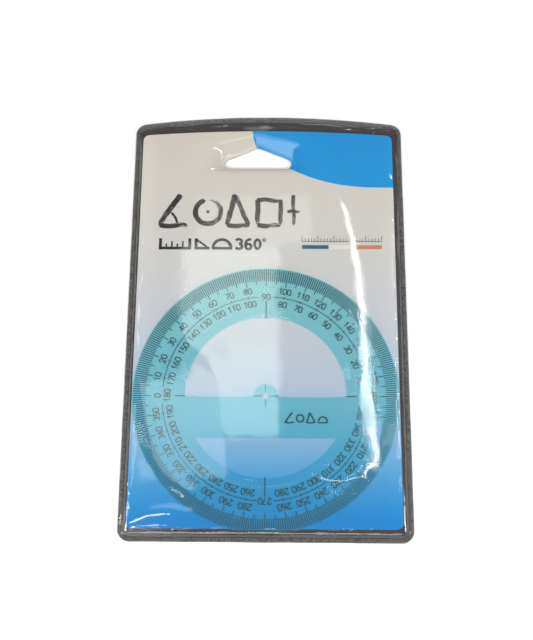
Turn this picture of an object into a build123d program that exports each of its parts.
from build123d import *
import math
import os

# A full-circle protractor as it is sold: the tinted clear disc lies on a printed hanging card, and both are
# sealed in a clear film pouch. The pouch lies on its back with the print facing +Z, +Y runs towards the hang
# slot, and the origin is the middle of the pouch's underside.

# ------------------------------------------------------------------ driving dimensions, in millimetres

# protractor disc
disc_diameter = 120.0
plate_thickness = 2.0
rim_edge_height = 0.9
rim_bevel_width = 4.5
ring_width = 24.0
ring_bevel_width = 3.6

# crossbar with the centre boss; its upper edge is the base line of the scale
bar_width = 19.0
bar_upper_bevel = 1.6
bar_lower_bevel = 1.9
notch_start = 9.5
notch_window_gap = 5.7
notch_depth = 0.6
boss_radius = 5.6
boss_bevel = 0.8
sighting_hole_radius = 1.4
sighting_sink_radius = 3.0
sighting_sink_depth = 0.9

# scale, printed on the underside of the disc
ink_thickness = 0.04
tick_width = 0.36
tick_rim_gap = 0.5
one_degree_length = 5.6
five_degree_length = 7.2
ten_degree_length = 7.9
tick_numeral_gap = 0.6
digit_height = 2.7
digit_width = 1.55
digit_gap = 0.5
stroke_width = 0.4
numeral_arc_gap = 1.6
level_numeral_shift = 1.0
arc_line_width = 0.28
arc_gap_angle = 4.75
cross_tick_length = 1.3
axis_line_width = 0.42
level_line_length = 4.6
upright_line_length = 8.4
crosshair_clearance = 0.3

# backing card
board_thickness = 0.5
card_side_reveal = 0.2
card_foot_inset = 2.0
header_height = 68.2
card_crown = 2.4
card_corner_radius = 3.0

# hang slot, punched through the card and both films
slot_width = 32.0
slot_lobe_radius = 2.65
slot_peak_radius = 2.2
slot_height = 10.8
slot_drop = 17.6
slot_side_shift = -4.4

# clear film pouch
film_thickness = 0.2
weld_width = 1.8
left_margin = 4.0
right_margin = 4.8
foot_margin = 3.8
top_margin = 5.6
pouch_crown = 4.4
pouch_corner_radius = 5.5

# free play between the pouch, the card and the disc, and the print's own hair of room under the disc
play = 0.15
print_play = 0.01

# ------------------------------------------------------------------ places that follow from them

disc_radius = disc_diameter / 2
window_radius = disc_radius - ring_width
notch_end = window_radius - notch_window_gap

pouch_width = left_margin + disc_diameter + right_margin
pouch_shoulder_height = foot_margin + disc_diameter + header_height + top_margin
pouch_height = pouch_shoulder_height + pouch_crown
pouch_left = -pouch_width / 2
pouch_foot = -pouch_height / 2

disc_x = pouch_left + left_margin + disc_radius
disc_y = pouch_foot + foot_margin + disc_radius

card_bottom = film_thickness + play
card_top = card_bottom + board_thickness
ink_bottom = card_top + play
plate_bottom = ink_bottom + ink_thickness + print_play
plate_top = plate_bottom + plate_thickness
film_inside = plate_top + play
film_outside = film_inside + film_thickness

# The tray's wall leans in from the weld, past the corner of the disc's rim, at about 45 degrees.
wall_offset = film_thickness * math.sqrt(2)
rim_room = min(left_margin, right_margin, foot_margin) - weld_width - wall_offset - play
rim_corner = plate_bottom + rim_edge_height
wall_run = rim_room * (film_inside - film_thickness) / (rim_corner - film_thickness)

card_left = disc_x - disc_radius - card_side_reveal
card_right = disc_x + disc_radius + card_side_reveal
card_foot = disc_y - disc_radius + card_foot_inset
card_shoulder = disc_y + disc_radius + header_height


def arched_panel(left, right, foot, shoulder, crown, corner):
    """A panel with a straight foot and sides, a gently arched top and rounded corners."""
    with BuildSketch() as panel:
        with BuildLine():
            base = Line((left, foot), (right, foot))
            side = Line(base @ 1, (right, shoulder))
            top = ThreePointArc(side @ 1, ((left + right) / 2, shoulder + crown), (left, shoulder))
            Line(top @ 1, base @ 0)
        make_face()
        fillet(panel.vertices(), corner)
    return panel.sketch


def pouch_panel(inset):
    """The pouch's outline, drawn in from its edge by one distance all round."""
    return arched_panel(
        pouch_left + inset,
        -pouch_left - inset,
        pouch_foot + inset,
        pouch_foot + pouch_shoulder_height - inset,
        pouch_crown,
        max(pouch_corner_radius - inset, film_thickness),
    )


# The slot is the hull of two end lobes and a middle peak: a straight foot below, two slopes to the peak above.
slot_foot = card_shoulder - slot_drop
slot_x = disc_x + slot_side_shift
lobe_offset = slot_width / 2 - slot_lobe_radius
with BuildSketch() as slot_outline:
    with Locations(
        (slot_x - lobe_offset, slot_foot + slot_lobe_radius),
        (slot_x + lobe_offset, slot_foot + slot_lobe_radius),
    ):
        Circle(slot_lobe_radius)
    with Locations((slot_x, slot_foot + slot_height - slot_peak_radius)):
        Circle(slot_peak_radius)
    make_hull()

# ------------------------------------------------------------------ pouch: two films welded round the edge

# The back film is a flat sheet.
with BuildPart() as pouch_back_sheet:
    with BuildSketch():
        add(pouch_panel(0))
        add(slot_outline.sketch, mode=Mode.SUBTRACT)
    extrude(amount=film_thickness)

# The front film lies on it round the weld and rises inside the weld to a shallow tray over the contents.
wall_foot_inset = weld_width
wall_head_inset = weld_width + wall_run + wall_offset / 2
with BuildPart() as pouch_front_sheet:
    with BuildSketch(Plane.XY.offset(film_thickness)):
        add(pouch_panel(0))
    extrude(amount=film_thickness)
    with BuildSketch(Plane.XY.offset(film_thickness)):
        add(pouch_panel(wall_foot_inset))
    with BuildSketch(Plane.XY.offset(film_outside)):
        add(pouch_panel(wall_head_inset))
    loft(ruled=True)
    with BuildSketch(Plane.XY.offset(film_thickness)):
        add(pouch_panel(wall_foot_inset + wall_offset))
    with BuildSketch(Plane.XY.offset(film_inside)):
        add(pouch_panel(weld_width + wall_offset + wall_run))
    loft(ruled=True, mode=Mode.SUBTRACT)
    with BuildSketch(Plane.XY.offset(film_thickness)):
        add(slot_outline.sketch)
    extrude(amount=film_outside, mode=Mode.SUBTRACT)

# ------------------------------------------------------------------ backing card

with BuildPart() as backing_card:
    with BuildSketch(Plane.XY.offset(card_bottom)):
        add(arched_panel(card_left, card_right, card_foot, card_shoulder, card_crown, card_corner_radius))
        add(slot_outline.sketch, mode=Mode.SUBTRACT)
    extrude(amount=board_thickness)

# ------------------------------------------------------------------ protractor disc

disc_axis = Axis((disc_x, disc_y, plate_bottom), (0, 0, 1))
ring_plane = Plane((disc_x, disc_y, plate_bottom), x_dir=(1, 0, 0), z_dir=(0, -1, 0))
bar_plane = Plane((disc_x, disc_y, plate_bottom), x_dir=(0, 1, 0), z_dir=(1, 0, 0))
plate_plane = Plane((disc_x, disc_y, plate_bottom))
bar_reach = window_radius + ring_bevel_width + 1

with BuildPart() as protractor_disc:
    # The ring, with a bevel down to the scale at the rim and another round the window.
    with BuildSketch(ring_plane):
        Polygon(
            (window_radius, 0),
            (disc_radius, 0),
            (disc_radius, rim_edge_height),
            (disc_radius - rim_bevel_width, plate_thickness),
            (window_radius + ring_bevel_width, plate_thickness),
            align=None,
        )
    revolve(axis=disc_axis)
    # The crossbar runs from ring to ring below the base line, bevelled on both edges.
    with BuildSketch(bar_plane):
        Polygon(
            (-bar_width, 0),
            (0, 0),
            (-bar_upper_bevel, plate_thickness),
            (-bar_width + bar_lower_bevel, plate_thickness),
            align=None,
        )
    extrude(amount=bar_reach, both=True)
    # The boss carries the bar's bevel round the centre.
    with BuildSketch(plate_plane):
        Circle(boss_radius)
    with BuildSketch(plate_plane.offset(plate_thickness)):
        Circle(boss_radius - boss_bevel)
    loft()
    # Two shallow recesses set the base line back on either side of the boss.
    with BuildSketch(plate_plane) as recesses:
        Polygon(
            (notch_start, 0),
            (notch_start + notch_depth, -notch_depth),
            (notch_end - notch_depth, -notch_depth),
            (notch_end, 0),
            (notch_end, notch_depth),
            (notch_start, notch_depth),
            align=None,
        )
        mirror(about=Plane.YZ)
    extrude(amount=plate_thickness, mode=Mode.SUBTRACT)
    # The sighting hole is sunk from the front.
    with BuildSketch(ring_plane):
        Polygon(
            (0, 0),
            (sighting_hole_radius, 0),
            (sighting_hole_radius, plate_thickness - sighting_sink_depth),
            (sighting_sink_radius, plate_thickness),
            (0, plate_thickness),
            align=None,
        )
    revolve(axis=disc_axis, mode=Mode.SUBTRACT)

# ------------------------------------------------------------------ scale printed on the disc's underside

ink_plane = Plane((disc_x, disc_y, ink_bottom))
tick_head = disc_radius - tick_rim_gap
# Each group of ticks: how many, the first one's angle, and their length.
tick_groups = [(72, degree, one_degree_length) for degree in (1, 2, 3, 4)]
tick_groups += [(36, 5, five_degree_length), (36, 0, ten_degree_length)]

with BuildPart() as degree_ticks:
    with BuildSketch(ink_plane):
        for count, first, length in tick_groups:
            with PolarLocations(tick_head - length / 2, count, start_angle=first):
                Rectangle(length, tick_width)
    extrude(amount=ink_thickness)


# Digits are single strokes of even width, centred on their own middle.
half_wide = digit_width / 2
half_high = digit_height / 2
bowl = digit_height / 4
digit_pitch = max(digit_width, 2 * bowl) + digit_gap


def stroke_one():
    with BuildLine() as pen:
        Polyline((-0.55 * half_wide, 0.55 * half_high), (0.2 * half_wide, half_high), (0.2 * half_wide, -half_high))
    trace(pen.line, stroke_width)


def stroke_two():
    shoulder = half_high - half_wide
    with BuildLine() as pen:
        ThreePointArc((-half_wide, shoulder), (0, half_high), (half_wide, shoulder))
        Polyline((half_wide, shoulder), (half_wide, 0.35 * half_high), (-half_wide, -half_high), (half_wide, -half_high))
    trace(pen.line, stroke_width)


def stroke_three():
    with BuildLine() as upper_pen:
        CenterArc((0, bowl), bowl, -90, 240)
    trace(upper_pen.line, stroke_width)
    with BuildLine() as lower_pen:
        CenterArc((0, -bowl), bowl, -150, 240)
    trace(lower_pen.line, stroke_width)


def stroke_four():
    bar_height = -0.4 * half_high
    upright = 0.4 * half_wide
    with BuildLine() as pen:
        Polyline((half_wide, bar_height), (-half_wide, bar_height), (upright, half_high))
    trace(pen.line, stroke_width)
    with BuildLine() as upright_pen:
        Line((upright, half_high), (upright, -half_high))
    trace(upright_pen.line, stroke_width)


def stroke_five():
    start = 130
    turn = math.radians(start)
    centre_high = half_wide - half_high
    with BuildLine() as pen:
        CenterArc((0, centre_high), half_wide, -145, start + 145)
        Line(
            (half_wide * math.cos(turn), centre_high + half_wide * math.sin(turn)),
            (half_wide * math.cos(turn), half_high),
        )
        Line((half_wide * math.cos(turn), half_high), (0.85 * half_wide, half_high))
    trace(pen.line, stroke_width)


def stroke_six():
    with BuildLine() as pen:
        ThreePointArc(
            (-half_wide, half_wide - half_high),
            (-0.62 * half_wide, 0.45 * half_high),
            (0.55 * half_wide, half_high),
        )
    trace(pen.line, stroke_width)
    with Locations((0, half_wide - half_high)):
        Circle(half_wide + stroke_width / 2)
        Circle(half_wide - stroke_width / 2, mode=Mode.SUBTRACT)


def stroke_seven():
    with BuildLine() as pen:
        Polyline((-half_wide, half_high), (half_wide, half_high), (-0.3 * half_wide, -half_high))
    trace(pen.line, stroke_width)


def stroke_eight():
    with Locations((0, bowl), (0, -bowl)):
        Circle(bowl + stroke_width / 2)
    with Locations((0, bowl), (0, -bowl)):
        Circle(bowl - stroke_width / 2, mode=Mode.SUBTRACT)


def stroke_zero():
    SlotOverall(digit_height + stroke_width, digit_width + stroke_width, rotation=90)
    SlotOverall(digit_height - stroke_width, digit_width - stroke_width, rotation=90, mode=Mode.SUBTRACT)


digit_strokes = {
    "0": stroke_zero,
    "1": stroke_one,
    "2": stroke_two,
    "3": stroke_three,
    "4": stroke_four,
    "5": stroke_five,
    "6": stroke_six,
    "7": stroke_seven,
    "8": stroke_eight,
    "9": stroke_six,
}
digit_turn = {"9": 180}


def draw_digit(digit):
    """One digit as a flat sketch standing upright on its own middle."""
    with BuildSketch() as glyph:
        digit_strokes[digit]()
    return glyph.sketch.rotate(Axis.Z, digit_turn.get(digit, 0))


digits = {digit: draw_digit(digit) for digit in digit_strokes}


def digit_places(labels, radius, digit):
    """The places of one digit in a ring of labels that all stand with their tops outwards."""
    places = []
    for angle, label in labels:
        for index, character in enumerate(label):
            if character == digit:
                sideways = (index - (len(label) - 1) / 2) * digit_pitch
                at = Vector(sideways, radius, 0).rotate(Axis.Z, angle - 90)
                places.append(Location((at.X, at.Y, 0), (0, 0, angle - 90)))
    return places


def numeral_ring(rings):
    """Printed numerals: one or more rings of labels, each given as its labels and its radius."""
    with BuildPart() as print_layer:
        with BuildSketch(ink_plane):
            for labels, radius in rings:
                for digit, glyph in digits.items():
                    places = digit_places(labels, radius, digit)
                    if places:
                        with Locations(*places):
                            add(glyph)
        extrude(amount=ink_thickness)
    return print_layer.part


# The outer scale counts clockwise from the left and the inner one the other way from the right. They share the
# numerals of the upright axis, which stand on the line between them. On the level axis, where the line is
# broken, the numerals stand a little closer to it.
quarter_turns = (0, 90, 180, 270)
shared_values = (90, 270)
level_values = (0, 180)
scale_values = [value for value in range(0, 360, 10) if value not in shared_values + level_values]
outer_labels = [(180 - value, str(value)) for value in scale_values]
inner_labels = [(value, str(value)) for value in scale_values]
outer_level_labels = [(180 - value, str(value)) for value in level_values]
inner_level_labels = [(value, str(value)) for value in level_values]
shared_labels = [(value, str(value)) for value in shared_values]
numeral_room = digit_height + stroke_width
arc_radius = tick_head - ten_degree_length - tick_numeral_gap - numeral_room - numeral_arc_gap
outer_numeral_radius = arc_radius + numeral_arc_gap + numeral_room / 2
inner_numeral_radius = arc_radius - numeral_arc_gap - numeral_room / 2

# The line between the two rings of numerals is broken at the quarter turns and crossed at every tenth degree.
# Axis lines stand at the window's edge, the upright ones longer, and a crosshair round the sighting hole.
crosshair_start = sighting_hole_radius + crosshair_clearance
crosshair_end = boss_radius - boss_bevel
with BuildPart() as scale_lines:
    with BuildSketch(ink_plane):
        for quarter in quarter_turns:
            with BuildLine() as arc:
                CenterArc((0, 0), arc_radius, quarter + arc_gap_angle, 90 - 2 * arc_gap_angle)
            trace(arc.line, arc_line_width)
        for first in range(10, 90, 10):
            with PolarLocations(arc_radius, 4, start_angle=first):
                Rectangle(cross_tick_length, arc_line_width)
        for first, length in ((0, level_line_length), (90, upright_line_length)):
            with PolarLocations(window_radius + length / 2, 2, start_angle=first):
                Rectangle(length, axis_line_width)
        with PolarLocations((crosshair_start + crosshair_end) / 2, 4):
            Rectangle(crosshair_end - crosshair_start, axis_line_width)
    extrude(amount=ink_thickness)

# ------------------------------------------------------------------ labels and files

os.makedirs("parts", exist_ok=True)

pieces = {
    "pouch_back_sheet": pouch_back_sheet.part,
    "pouch_front_sheet": pouch_front_sheet.part,
    "backing_card": backing_card.part,
    "protractor_disc": protractor_disc.part,
    "degree_ticks": degree_ticks.part,
    "outer_numerals": numeral_ring(
        [
            (outer_labels, outer_numeral_radius),
            (outer_level_labels, outer_numeral_radius - level_numeral_shift),
            (shared_labels, arc_radius),
        ]
    ),
    "inner_numerals": numeral_ring(
        [
            (inner_labels, inner_numeral_radius),
            (inner_level_labels, inner_numeral_radius + level_numeral_shift),
        ]
    ),
    "scale_lines": scale_lines.part,
}
for name, piece in pieces.items():
    piece.label = name
    export_step(piece, f"parts/{name}.step")
